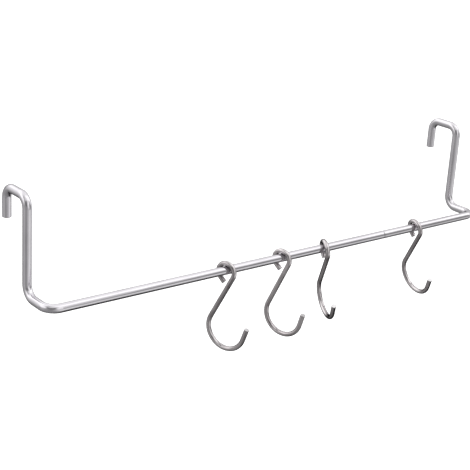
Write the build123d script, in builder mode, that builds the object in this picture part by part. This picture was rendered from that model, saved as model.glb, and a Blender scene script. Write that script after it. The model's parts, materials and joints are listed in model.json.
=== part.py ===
from build123d import *

import os
from math import asin, cos, degrees, radians, sin

# Over-the-door hook rack: a bent round bar in two halves, joined in the rail
# by a hidden pin, with four S hooks threaded on the rail.
# All lengths are in millimetres and all angles in degrees.
# X runs along the door's top edge, +Y points through the door and +Z up.
# The origin is where the top bars sit on the door's top edge, midway between
# the two hangers and midway through the door's thickness.

# Bar
rod_diameter = 7.0
leg_spacing = 446.0
door_gap = 23.0
drop = 75.0
reach = 31.0
left_lip_length = 23.5
right_lip_length = 25.7
hanger_bend_radius = 8.5
arm_bend_radius = 10.0
cut_end_chamfer = 0.4

# Joint in the rail
seam_from_middle = 106.0
seam_chamfer = 0.3
pin_diameter = 4.0
pin_length = 36.0
pin_end_chamfer = 0.5
pin_slip = 0.03
socket_spare_depth = 1.0

# S hook, as bent from one wire
wire_diameter = 4.0
loop_play = 3.5
loop_end_angle = 222.0
loop_tail_length = 5.2
bowl_inner_diameter = 29.5
loop_to_bowl = 48.5
tip_length = 11.0
tip_flare = 21.0
wire_end_chamfer = 0.3
seat_gap = 0.15

# The hooks' places along the rail, from mid-span
hook_1_place = -64.5
hook_2_place = -7.5
hook_3_place = 39.0
hook_4_place = 147.0

# How each hook rests there: its turn about the vertical, its sideways lean and
# its swing about the loop, in degrees
hook_rests = [
    (hook_1_place, 19.0, -1.5, 2.5),
    (hook_2_place, 16.0, -2.0, 5.0),
    (hook_3_place, -22.0, -9.5, -9.5),
    (hook_4_place, -6.0, -13.5, -5.5),
]

# Places that follow from the sizes above
rod_radius = rod_diameter / 2
wire_radius = wire_diameter / 2
pin_radius = pin_diameter / 2
hanger_depth = door_gap + rod_diameter
top_bar_z = rod_radius
lip_y = hanger_depth / 2
leg_y = -hanger_depth / 2
rail_y = leg_y - reach
rail_z = top_bar_z - drop
socket_depth = pin_length / 2 + socket_spare_depth

loop_radius = (rod_diameter + loop_play) / 2 + wire_radius
bowl_radius = bowl_inner_diameter / 2 + wire_radius
shank_angle = degrees(asin((loop_radius + bowl_radius) / loop_to_bowl))


def bar_corners(side, lip_length):
    """Corner points of one half's centre line, from the cut lip to the seam; side is -1 or 1."""
    leg_x = side * leg_spacing / 2
    return [
        (leg_x, lip_y, top_bar_z - lip_length),
        (leg_x, lip_y, top_bar_z),
        (leg_x, leg_y, top_bar_z),
        (leg_x, leg_y, rail_z),
        (leg_x, rail_y, rail_z),
        (seam_from_middle, rail_y, rail_z),
    ]


def section_plane(line):
    """Plane across the start of a line, for the round section."""
    return Plane(origin=line @ 0, z_dir=line % 0)


def hook_plane(from_middle, turn, lean, swing):
    """Plane of one S hook, with its origin at the loop's centre and its X to the open front.

    The highest point of the loop stays straight above the rail's centre line.
    """
    forward = Vector(sin(radians(turn)), -cos(radians(turn)), 0)
    across = Vector(cos(radians(turn)), sin(radians(turn)), 0)
    upward = Vector(0, 0, 1) * cos(radians(lean)) + across * sin(radians(lean))
    seat = Vector(from_middle, rail_y, rail_z + rod_radius + wire_radius + seat_gap)
    centre = seat - upward * loop_radius
    centre = Vector(from_middle, centre.Y, centre.Z)
    x_dir = forward * cos(radians(swing)) + upward * sin(radians(swing))
    return Plane(origin=centre, x_dir=x_dir, z_dir=forward.cross(upward))


# Left half: lip, top bar, leg, arm and the long stretch of rail, with a drilled end
with BuildPart() as left_bar:
    with BuildLine() as left_line:
        FilletPolyline(
            *bar_corners(-1, left_lip_length),
            radius=[hanger_bend_radius, hanger_bend_radius, arm_bend_radius, arm_bend_radius],
        )
    with BuildSketch(section_plane(left_line.line)):
        Circle(rod_radius)
    sweep()
    left_ends = left_bar.faces().filter_by(GeomType.PLANE).sort_by(Axis.X)
    chamfer(left_ends[0].edges(), length=cut_end_chamfer)
    chamfer(left_ends[-1].edges(), length=seam_chamfer)
    with Locations(Plane(origin=(seam_from_middle, rail_y, rail_z), z_dir=(1, 0, 0))):
        Hole(radius=pin_radius + pin_slip, depth=socket_depth)

# Right half: the same bends mirrored, with the short stretch of rail
with BuildPart() as right_bar:
    with BuildLine() as right_line:
        FilletPolyline(
            *bar_corners(1, right_lip_length),
            radius=[hanger_bend_radius, hanger_bend_radius, arm_bend_radius, arm_bend_radius],
        )
    with BuildSketch(section_plane(right_line.line)):
        Circle(rod_radius)
    sweep()
    right_ends = right_bar.faces().filter_by(GeomType.PLANE).sort_by(Axis.X)
    chamfer(right_ends[-1].edges(), length=cut_end_chamfer)
    chamfer(right_ends[0].edges(), length=seam_chamfer)
    with Locations(Plane(origin=(seam_from_middle, rail_y, rail_z), z_dir=(-1, 0, 0))):
        Hole(radius=pin_radius, depth=socket_depth)

# Joining pin: pressed into the right half, a push fit in the left half
with BuildPart() as joining_pin:
    with BuildSketch(
        Plane(
            origin=(seam_from_middle - pin_length / 2, rail_y, rail_z),
            z_dir=(1, 0, 0),
        )
    ):
        Circle(pin_radius)
    extrude(amount=pin_length)
    chamfer(joining_pin.edges().filter_by(GeomType.CIRCLE), length=pin_end_chamfer)

os.makedirs("parts", exist_ok=True)
left_bar.part.label = "left_bar"
right_bar.part.label = "right_bar"
joining_pin.part.label = "joining_pin"
for piece in (left_bar.part, right_bar.part, joining_pin.part):
    export_step(piece, f"parts/{piece.label}.step")

# S hooks: a short straight tail, a small loop closed round the rail, a straight shank
# that crosses over, and a wide open bowl with a straight flared tip
for number, rest in enumerate(hook_rests, start=1):
    plane = hook_plane(*rest)
    with BuildPart() as s_hook:
        with BuildLine(plane) as wire_line:
            loop = CenterArc((0, 0), loop_radius, loop_end_angle, -loop_end_angle - shank_angle)
            bowl = CenterArc(
                (0, -loop_to_bowl),
                bowl_radius,
                180 - shank_angle,
                180 + shank_angle - tip_flare,
            )
            Line(loop @ 0 - (loop % 0) * loop_tail_length, loop @ 0)
            Line(loop @ 1, bowl @ 0)
            Line(bowl @ 1, bowl @ 1 + (bowl % 1) * tip_length)
        with BuildSketch(section_plane(wire_line.line)):
            Circle(wire_radius)
        sweep()
        cut_faces = s_hook.faces().filter_by(GeomType.PLANE)
        chamfer(cut_faces.edges(), length=wire_end_chamfer)
    s_hook.part.label = f"s_hook_{number}"
    export_step(s_hook.part, f"parts/{s_hook.part.label}.step")
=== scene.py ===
"""Over-the-door hook rack: steel finishes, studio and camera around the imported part.

Lengths are in metres and angles in degrees, unless a name says otherwise.
"""

import json
from functools import partial
from math import asin, cos, degrees, radians, sin

import bpy
from mathutils import Matrix, Vector


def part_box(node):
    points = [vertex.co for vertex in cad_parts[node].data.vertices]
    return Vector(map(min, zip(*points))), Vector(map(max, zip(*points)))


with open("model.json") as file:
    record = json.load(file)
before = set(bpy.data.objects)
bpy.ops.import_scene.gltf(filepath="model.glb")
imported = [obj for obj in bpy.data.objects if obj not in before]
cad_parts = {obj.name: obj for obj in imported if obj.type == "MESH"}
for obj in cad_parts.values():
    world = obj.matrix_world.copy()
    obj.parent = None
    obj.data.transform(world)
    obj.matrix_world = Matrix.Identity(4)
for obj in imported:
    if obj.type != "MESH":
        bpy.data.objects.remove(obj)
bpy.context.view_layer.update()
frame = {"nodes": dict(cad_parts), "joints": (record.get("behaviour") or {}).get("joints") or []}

# The bar's centre line, from the frame and a few sizes, used to lay the drawn grain along it. The
# hooks' hinges lie on the rail's centre line, and the left half of the bar ends at the seam
bar_radius = 0.0035
door_gap = 0.023
left_lip_length, right_lip_length = 0.0235, 0.0257
hanger_bend_radius = 0.0085
arm_bend_radius = 0.010
left_bar_low, left_bar_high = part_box("left_bar")
half_span = -left_bar_low.x - bar_radius
seam_from_middle = left_bar_high.x
top_bar_z = bar_radius
lip_y = door_gap / 2 + bar_radius
leg_y = -lip_y
rail_y, rail_z = frame["joints"][0]["pos_m"][1:]

# The hooks' sizes, used in the same way along their wire
wire_radius = 0.002
loop_play = 0.0035
loop_end_angle = 222.0
loop_tail_length = 0.0052
bowl_inner_diameter = 0.0295
loop_to_bowl = 0.0485
tip_length = 0.011
tip_flare = 21.0
seat_gap = 0.00015
loop_radius = bar_radius + loop_play / 2 + wire_radius
bowl_radius = bowl_inner_diameter / 2 + wire_radius
shank_angle = degrees(asin((loop_radius + bowl_radius) / loop_to_bowl))

# Each hook: distance from mid-span, turn about the vertical, sideways lean and swing
hook_places = {
    "s_hook_1": (-0.0645, 19.0, -1.5, 2.5),
    "s_hook_2": (-0.0075, 16.0, -2.0, 5.0),
    "s_hook_3": (0.0390, -22.0, -9.5, -9.5),
    "s_hook_4": (0.1470, -6.0, -13.5, -5.5),
}

# A straight stretch of the wire reaches this far to each side of its centre line, so that it takes
# in the whole wire and no other stretch
stretch_half_width = 1.25 * wire_radius

# The drawn metal's pale and dark colours
left_bar_colors = (0.76, 0.74, 0.775, 1), (0.61, 0.592, 0.622, 1)
right_bar_colors = (0.76, 0.74, 0.77, 1), (0.61, 0.592, 0.618, 1)
hook_colors = (0.88, 0.84, 0.85), (0.34, 0.305, 0.315)

# How light each hook's wire is beside the others
hook_tones = {"s_hook_1": 0.77, "s_hook_2": 0.92, "s_hook_3": 0.90, "s_hook_4": 0.92}

# Each finish: lowest and highest roughness, grain per metre across the metal, depth of the grain,
# share of the specks in that depth, and brightness of the edges, where the metal is seen at a flat
# angle
bar_finish = {
    "roughness": (0.05, 0.11),
    "grain_per_metre": 1700.0,
    "depth": 0.000003,
    "specks": 0.15,
    "edge": 0.5,
}
hook_finish = {
    "roughness": (0.05, 0.10),
    "grain_per_metre": 800.0,
    "depth": 0.000006,
    "specks": 0.2,
    "edge": 0.05,
}

# The grain's two layers, per metre along the metal. Across it the broad one is this share of the
# fine one's grain per metre
fine_along, broad_along = 55.0, 22.0
broad_across = 0.3
# Clouds and specks, per metre in every direction
clouds_per_metre, specks_per_metre = 90.0, 2600.0
# The broad layer's share in the streaks, and the clouds' shares in the tone and in the roughness
broad_in_streak = 0.4
cloud_in_tone, cloud_in_roughness = 0.25, 0.4
# The noise that gives the darkest and the palest tone, and the range that other noise keeps to
dark_noise, pale_noise = 0.36, 0.62
low_noise, high_noise = 0.35, 0.65

# The cropped faces at the wire's and the bar's ends, paler and rougher than the drawn metal
cut_face_depth = 0.0002
cut_pale_color = (0.86, 0.85, 0.86, 1)
cut_dark_color = (0.70, 0.68, 0.69, 1)
cut_roughness = 0.35

# The painted shade in the groove between the two halves of the bar, a dark line: its colour, the
# distance from the seam within which it is full, the distance where it ends, and the share that shows
seam_shade_color = (0.22, 0.21, 0.22, 1)
seam_shade_core, seam_shade_edge, seam_shade_darkness = 0.0003, 0.0007, 0.45

# Camera, from a fit to the photograph
camera_azimuth = -39.28
camera_elevation = 19.53
camera_roll = 3.59
camera_distance = 0.9431
camera_aim = Vector((-0.0582, rail_y, rail_z + 0.0282))
camera_clip_start, camera_clip_end = 0.05, 50.0
focal_pixels = 1213.5
image_pixels = 470
sensor_width_mm = 36.0

# Studio. The room's brightness as the metal sees it, by height from straight down (-1) to
# straight up (1)
room_by_height = [
    (-1.0, 0.28), (-0.85, 0.28), (-0.70, 0.34), (-0.50, 0.38), (-0.30, 0.45), (-0.10, 0.40),
    (0.10, 0.43), (0.30, 0.60), (0.60, 0.75), (1.0, 0.70),
]
# Its soft lights and its darker sides: direction, stretch along the rail (1 for none), angle from
# there where it fades out, angle where it is full, and brightness
room_lights = {
    "key": ((0.39, 0.43, 0.81), 0.6, 59.0, 21.0, 0.48),
    "strip": ((0.44, -0.42, 0.79), 0.25, 27.0, 9.0, 0.66),
    "front": ((0.14, -0.95, 0.29), 1.0, 30.0, 10.0, 0.56),
    "low_strip": ((0.60, -0.63, -0.40), 0.3, 21.0, 7.0, 0.40),
    "right": ((0.95, -0.08, 0.32), 1.0, 30.0, 12.0, 0.70),
    "left": ((-0.90, 0.18, 0.38), 1.0, 30.0, 8.0, 0.60),
    "back_left": ((-0.35, 0.82, 0.42), 1.0, 50.0, 10.0, 0.50),
    "low_front": ((0.12, -0.96, -0.26), 1.0, 43.0, 8.0, 0.14),
    "low_left": ((-0.92, 0.22, -0.34), 1.0, 20.0, 6.0, 0.10),
    "dark_line": ((0.60, -0.78, 0.15), 0.25, 15.0, 4.0, -0.22),
    "dark_behind": ((0.20, 0.97, -0.12), 1.0, 42.0, 15.0, -0.22),
    "dark_below": ((0.50, 0.20, -0.84), 1.0, 42.0, 14.0, -0.20),
    "dark_low": ((0.64, -0.24, -0.73), 0.5, 24.0, 8.0, -0.10),
    "dark_front": ((-0.55, -0.55, 0.63), 1.0, 45.0, 15.0, -0.40),
    "dark_left": ((-0.76, -0.56, -0.33), 1.0, 24.0, 6.0, -0.09),
}
# Where the metal sees the white backdrop: direction, angle where it fades out, angle where it is full
backdrop_toward, backdrop_edge, backdrop_core = (0.85, 0.50, -0.02), 55.0, 30.0
white = (1, 1, 1, 1)

# The floor, and the glow that it adds for the camera alone, so that it shows white
floor_z = -0.90
floor_size = 12.0
floor_color = (0.8, 0.8, 0.8, 1)
floor_glow = 0.5


class Nodes:
    """Short calls for building a node tree. add returns a node, and those after link an output."""

    def __init__(self, tree):
        self.tree = tree

    def add(self, kind, **values):
        node = self.tree.nodes.new(kind)
        for name, value in values.items():
            setattr(node, name, value)
        return node

    def link(self, value, socket):
        if isinstance(value, bpy.types.NodeSocket):
            self.tree.links.new(value, socket)
        else:
            socket.default_value = value

    def fill(self, node, *values):
        """Gives a node's first inputs their values, in order, and returns its first output."""
        for value, socket in zip(values, node.inputs):
            self.link(value, socket)
        return node.outputs[0]

    def math(self, operation, *values):
        return self.fill(self.add("ShaderNodeMath", operation=operation), *values)

    def vector(self, operation, *values):
        return self.fill(self.add("ShaderNodeVectorMath", operation=operation), *values)

    def dot(self, a, b):
        node = self.add("ShaderNodeVectorMath", operation="DOT_PRODUCT")
        self.fill(node, a, b)
        return node.outputs["Value"]

    def scaled(self, vector, factor):
        node = self.add("ShaderNodeVectorMath", operation="SCALE")
        self.link(vector, node.inputs[0])
        node.inputs["Scale"].default_value = factor
        return node.outputs[0]

    def split(self, vector):
        node = self.add("ShaderNodeSeparateXYZ")
        self.fill(node, vector)
        return tuple(node.outputs)

    def joined(self, x, y, z):
        return self.fill(self.add("ShaderNodeCombineXYZ"), x, y, z)

    def hypot(self, a, b):
        squares = self.math("MULTIPLY", a, a), self.math("MULTIPLY", b, b)
        return self.math("SQRT", self.math("ADD", *squares))

    def beyond(self, a, b):
        """How far a is past b, or 0."""
        return self.math("MAXIMUM", self.math("SUBTRACT", a, b), 0.0)

    def choose(self, test, if_true, if_false):
        """if_true where test is 1, if_false where it is 0."""
        change = self.math("SUBTRACT", if_true, if_false)
        return self.math("ADD", if_false, self.math("MULTIPLY", test, change))

    def shared(self, a, b, share):
        """a and b together, with b's share given and a taking the rest."""
        parts = self.math("MULTIPLY", a, 1 - share), self.math("MULTIPLY", b, share)
        return self.math("ADD", *parts)

    def noise(self, vector, detail, roughness):
        node = self.add("ShaderNodeTexNoise")
        self.link(vector, node.inputs["Vector"])
        node.inputs["Scale"].default_value = 1.0
        node.inputs["Detail"].default_value = detail
        node.inputs["Roughness"].default_value = roughness
        return node.outputs["Fac"]

    def remap(self, value, low, high, to_low, to_high, smooth=False):
        curve = "SMOOTHSTEP" if smooth else "LINEAR"
        node = self.add("ShaderNodeMapRange", interpolation_type=curve)
        return self.fill(node, value, low, high, to_low, to_high)

    def mix_color(self, factor, a, b):
        node = self.add("ShaderNodeMix", data_type="RGBA")
        self.link(factor, node.inputs["Factor"])
        self.link(a, node.inputs["A"])
        self.link(b, node.inputs["B"])
        return node.outputs["Result"]

    def seen_directly(self):
        """1 for rays from the camera or through glass, 0 for light on the rack and for mirroring."""
        path = self.add("ShaderNodeLightPath")
        return self.math("MAXIMUM", path.outputs["Is Camera Ray"], path.outputs["Is Transmission Ray"])


def along_bar(n, place):
    """Position across the bar's section, carried round its bends, the mask of its cut faces (1 on
    the lips' ends) and how much of the painted shade in the seam's groove the metal takes.
    """
    x, y, z = n.split(place)
    past_end = n.beyond(n.math("ABSOLUTE", x), half_span - arm_bend_radius)
    past_front = n.beyond(n.math("MULTIPLY", y, -1.0), -(rail_y + arm_bend_radius))
    outward = n.math("SUBTRACT", n.hypot(past_end, past_front), arm_bend_radius)
    past_corner = n.beyond(n.math("ABSOLUTE", y), lip_y - hanger_bend_radius)
    above_corner = n.beyond(z, top_bar_z - hanger_bend_radius)
    over_hanger = n.math("SUBTRACT", n.hypot(past_corner, above_corner), hanger_bend_radius)
    behind_bend = n.beyond(y, leg_y - arm_bend_radius)
    below_bend = n.beyond(n.math("MULTIPLY", z, -1.0), -(rail_z + arm_bend_radius))
    along_arm = n.math("SUBTRACT", arm_bend_radius, n.hypot(behind_bend, below_bend))
    upper = n.math("GREATER_THAN", z, (top_bar_z + rail_z) / 2)
    section = n.joined(outward, n.choose(upper, over_hanger, along_arm), 0.0)

    lip_length = n.choose(n.math("GREATER_THAN", x, 0.0), right_lip_length, left_lip_length)
    lip_end = n.math("SUBTRACT", top_bar_z + cut_face_depth, lip_length)
    on_lip = n.math("GREATER_THAN", y, lip_y - 2 * bar_radius)
    cut = n.math("MULTIPLY", on_lip, n.math("LESS_THAN", z, lip_end))

    from_seam = n.math("ABSOLUTE", n.math("SUBTRACT", x, seam_from_middle))
    on_rail = n.math("LESS_THAN", y, rail_y + 2 * bar_radius)
    # Painted shade: a dark line in the groove at the seam, where shade falls between the two halves
    seam_shade = n.remap(from_seam, seam_shade_edge, seam_shade_core, 0.0, seam_shade_darkness, smooth=True)
    return section, cut, n.math("MULTIPLY", on_rail, seam_shade)


def hook_axes(from_middle, turn, lean, swing):
    """Loop centre, the hook plane's two directions and its normal, as the hook hangs at rest."""
    forward = Vector((sin(radians(turn)), -cos(radians(turn)), 0))
    across = Vector((cos(radians(turn)), sin(radians(turn)), 0))
    upward = Vector((0, 0, 1)) * cos(radians(lean)) + across * sin(radians(lean))
    seat = Vector((from_middle, rail_y, rail_z + bar_radius + wire_radius + seat_gap))
    centre = seat - upward * loop_radius
    centre.x = from_middle
    x_dir = forward * cos(radians(swing)) + upward * sin(radians(swing))
    normal = forward.cross(upward)
    return centre, x_dir, normal.cross(x_dir), normal


def along_wire(n, place, hook):
    """Position across an S hook's wire, carried along its bends, the mask of its cut faces (1 on
    its two ends) and None for the seam's painted shade, which it doesn't have.
    """
    centre, x_dir, y_dir, normal = hook_axes(*hook_places[hook])
    local = n.vector("SUBTRACT", place, tuple(centre))
    u = n.dot(local, tuple(x_dir))
    v = n.dot(local, tuple(y_dir))
    w = n.dot(local, tuple(normal))
    from_bowl_centre = n.math("ADD", v, loop_to_bowl)

    def turned(a, b, angle):
        """Distance out towards an angle in the hook's plane, and distance round past it."""
        c, s = cos(radians(angle)), sin(radians(angle))
        out = n.math("ADD", n.math("MULTIPLY", a, c), n.math("MULTIPLY", b, s))
        past = n.math("SUBTRACT", n.math("MULTIPLY", b, c), n.math("MULTIPLY", a, s))
        return out, past

    def stretch(side, distance):
        """1 on a straight stretch: on its side of the bend, and near its centre line."""
        near = n.math("LESS_THAN", n.math("ABSOLUTE", distance), stretch_half_width)
        return n.math("MULTIPLY", side, near)

    tail_out, tail_past = turned(u, v, loop_end_angle)
    shank_out, shank_past = turned(u, v, -shank_angle)
    tip_out, tip_past = turned(u, from_bowl_centre, -tip_flare)
    from_loop = n.math("SUBTRACT", n.hypot(u, v), loop_radius)
    from_tail = n.math("SUBTRACT", tail_out, loop_radius)
    from_shank = n.math("SUBTRACT", shank_out, loop_radius)
    from_bowl = n.math("SUBTRACT", bowl_radius, n.hypot(u, from_bowl_centre))
    from_tip = n.math("SUBTRACT", bowl_radius, tip_out)

    on_tail = stretch(n.math("GREATER_THAN", tail_past, 0.0), from_tail)
    on_shank = stretch(n.math("LESS_THAN", shank_past, 0.0), from_shank)
    on_tip = stretch(n.math("GREATER_THAN", tip_past, 0.0), from_tip)
    on_bowl = n.math("LESS_THAN", v, -loop_to_bowl + bowl_radius * sin(radians(shank_angle)))
    above_bowl = n.choose(on_shank, from_shank, n.choose(on_tail, from_tail, from_loop))
    outward = n.choose(on_bowl, n.choose(on_tip, from_tip, from_bowl), above_bowl)

    tail_end = n.math("GREATER_THAN", tail_past, loop_tail_length - cut_face_depth)
    tip_end = n.math("GREATER_THAN", tip_past, tip_length - cut_face_depth)
    off_shank = n.math("SUBTRACT", 1.0, n.math("MAXIMUM", on_shank, on_bowl))
    tail_cut = n.math("MULTIPLY", n.math("MULTIPLY", tail_end, on_tail), off_shank)
    tip_cut = n.math("MULTIPLY", n.math("MULTIPLY", tip_end, on_tip), on_bowl)
    return n.joined(outward, w, 0.0), n.math("MAXIMUM", tail_cut, tip_cut), None


def steel(name, along, pale_color, dark_color, roughness, grain_per_metre, depth, specks, edge):
    """Drawn stainless steel: fine grain along the metal, soft cloudy patches and paler cut faces."""
    material = bpy.data.materials.new(name)
    material.use_nodes = True
    tree = material.node_tree
    n = Nodes(tree)
    shader = tree.nodes["Principled BSDF"]
    place = n.add("ShaderNodeTexCoord").outputs["Object"]
    section, cut, seam_shade = along(n, place)

    def drawn_out(across, lengthwise):
        """Coordinates for a noise that is drawn out along the metal."""
        return n.vector("ADD", n.scaled(section, across), n.scaled(place, lengthwise))

    fine = n.noise(drawn_out(grain_per_metre, fine_along), detail=3.0, roughness=0.6)
    broad = n.noise(drawn_out(grain_per_metre * broad_across, broad_along), detail=2.0, roughness=0.5)
    streak = n.shared(fine, broad, broad_in_streak)
    cloud = n.noise(n.scaled(place, clouds_per_metre), detail=3.0, roughness=0.55)
    speck = n.noise(n.scaled(place, specks_per_metre), detail=1.0, roughness=0.5)

    tone = n.remap(n.shared(streak, cloud, cloud_in_tone), dark_noise, pale_noise, 0.0, 1.0)
    drawn_color = n.mix_color(tone, dark_color, pale_color)
    # Painted shade along the bar's seam groove darkens the drawn colour there
    if seam_shade is not None:
        drawn_color = n.mix_color(seam_shade, drawn_color, seam_shade_color)
    cut_tone = n.remap(speck, low_noise, high_noise, 0.0, 1.0)
    cut_color = n.mix_color(cut_tone, cut_dark_color, cut_pale_color)
    n.link(n.mix_color(cut, drawn_color, cut_color), shader.inputs["Base Color"])

    uneven = n.shared(fine, cloud, cloud_in_roughness)
    drawn_roughness = n.remap(uneven, low_noise, high_noise, *roughness)
    n.link(n.choose(cut, cut_roughness, drawn_roughness), shader.inputs["Roughness"])

    ridge = n.add("ShaderNodeBump")
    ridge.inputs["Strength"].default_value = 1.0
    ridge.inputs["Distance"].default_value = depth
    n.link(n.math("ADD", streak, n.math("MULTIPLY", speck, specks)), ridge.inputs["Height"])
    n.link(ridge.outputs["Normal"], shader.inputs["Normal"])
    shader.inputs["Metallic"].default_value = 1.0
    shader.inputs["Specular Tint"].default_value = (edge, edge, edge, 1)
    return material


def dress(node, material):
    """Gives a CAD node its finish."""
    slots = frame["nodes"][node].data.materials
    slots.clear()
    slots.append(material)


def make_finishes():
    """Bright satin on the bar and on its pin, darker satin on the hooks."""
    left = steel("bar_steel_left", along_bar, *left_bar_colors, **bar_finish)
    right = steel("bar_steel_right", along_bar, *right_bar_colors, **bar_finish)
    dress("left_bar", left)
    dress("right_bar", right)
    dress("joining_pin", right)
    for hook, tone in hook_tones.items():
        along = partial(along_wire, hook=hook)
        pale, dark = [(red * tone, green * tone, blue * tone, 1) for red, green, blue in hook_colors]
        dress(hook, steel(f"{hook}_steel", along, pale, dark, **hook_finish))


def patch(n, direction, toward, stretch, edge, core, strength):
    """A soft-edged patch of the room: its strength toward one direction, 0 away from it."""
    squeeze = Vector((stretch, 1, 1))
    squeezed = n.vector("NORMALIZE", n.vector("MULTIPLY", direction, tuple(squeeze)))
    middle = (Vector(toward) * squeeze).normalized()
    facing = n.dot(squeezed, tuple(middle))
    return n.remap(facing, cos(radians(edge)), cos(radians(core)), 0.0, strength, smooth=True)


def room_level(n, direction):
    """The room's brightness: by height, with its soft lights added and its darker sides taken off."""
    height = n.split(direction)[2]
    rise = n.add("ShaderNodeValToRGB")
    ramp = rise.color_ramp
    for stop, _ in room_by_height[1:-1]:
        ramp.elements.new((stop + 1) / 2)
    for element, (_, level) in zip(ramp.elements, room_by_height):
        element.color = (level, level, level, 1)
    n.link(n.remap(height, -1.0, 1.0, 0.0, 1.0), rise.inputs[0])
    total = rise.outputs[0]
    for light in room_lights.values():
        total = n.math("ADD", total, patch(n, direction, *light))
    return total


def make_world():
    """A pale studio room round the rack. The metal sees it with the white backdrop on one side, and
    the camera sees white alone.
    """
    world = bpy.data.worlds.new("studio")
    bpy.context.scene.world = world
    world.use_nodes = True
    tree = world.node_tree
    tree.nodes.clear()
    n = Nodes(tree)
    direction = n.add("ShaderNodeTexCoord").outputs["Generated"]
    room = n.add("ShaderNodeBackground")
    room.inputs["Color"].default_value = white
    n.link(room_level(n, direction), room.inputs["Strength"])
    backdrop = n.add("ShaderNodeBackground")
    backdrop.inputs["Color"].default_value = white
    backdrop_side = patch(n, direction, backdrop_toward, 1.0, backdrop_edge, backdrop_core, 1.0)
    mirrored = n.add("ShaderNodeLightPath").outputs["Is Glossy Ray"]
    in_metal = n.math("MULTIPLY", mirrored, backdrop_side)
    white_share = n.math("MAXIMUM", n.seen_directly(), in_metal)
    mix = n.add("ShaderNodeMixShader")
    surface = n.fill(mix, white_share, room.outputs[0], backdrop.outputs[0])
    n.link(surface, n.add("ShaderNodeOutputWorld").inputs["Surface"])


def floor_material():
    """Pale and matt, with a glow that only the camera sees."""
    material = bpy.data.materials.new("floor")
    material.use_nodes = True
    tree = material.node_tree
    tree.nodes.clear()
    n = Nodes(tree)
    diffuse = n.add("ShaderNodeBsdfDiffuse")
    diffuse.inputs["Color"].default_value = floor_color
    glow = n.add("ShaderNodeEmission")
    n.link(n.math("MULTIPLY", n.seen_directly(), floor_glow), glow.inputs["Strength"])
    surface = n.fill(n.add("ShaderNodeAddShader"), diffuse.outputs[0], glow.outputs[0])
    n.link(surface, n.add("ShaderNodeOutputMaterial").inputs["Surface"])
    return material


def make_floor():
    """A pale floor below the rack, which keeps the soft shadow. The metal doesn't see it."""
    half = floor_size / 2
    corners = [(x * half, y * half, floor_z) for x, y in ((-1, -1), (1, -1), (1, 1), (-1, 1))]
    mesh = bpy.data.meshes.new("floor")
    mesh.from_pydata(corners, [], [(0, 1, 2, 3)])
    mesh.materials.append(floor_material())
    floor = bpy.data.objects.new("floor", mesh)
    bpy.context.scene.collection.objects.link(floor)
    floor.visible_glossy = False


def make_camera():
    """The photograph's view."""
    azimuth, elevation, roll = radians(camera_azimuth), radians(camera_elevation), radians(camera_roll)
    back = Vector((sin(azimuth) * cos(elevation), -cos(azimuth) * cos(elevation), sin(elevation)))
    level = Vector((cos(azimuth), sin(azimuth), 0))
    up = back.cross(level)
    right = level * cos(roll) + up * sin(roll)
    top = up * cos(roll) - level * sin(roll)
    data = bpy.data.cameras.new("camera")
    data.sensor_width = sensor_width_mm
    data.lens = focal_pixels * sensor_width_mm / image_pixels
    data.clip_start, data.clip_end = camera_clip_start, camera_clip_end
    camera = bpy.data.objects.new("camera", data)
    bpy.context.scene.collection.objects.link(camera)
    turn = Matrix((right, top, back)).transposed().to_4x4()
    camera.matrix_world = Matrix.Translation(camera_aim + back * camera_distance) @ turn
    bpy.context.scene.camera = camera


make_finishes()
make_world()
make_floor()
make_camera()
bpy.context.scene.view_settings.view_transform = "Standard"
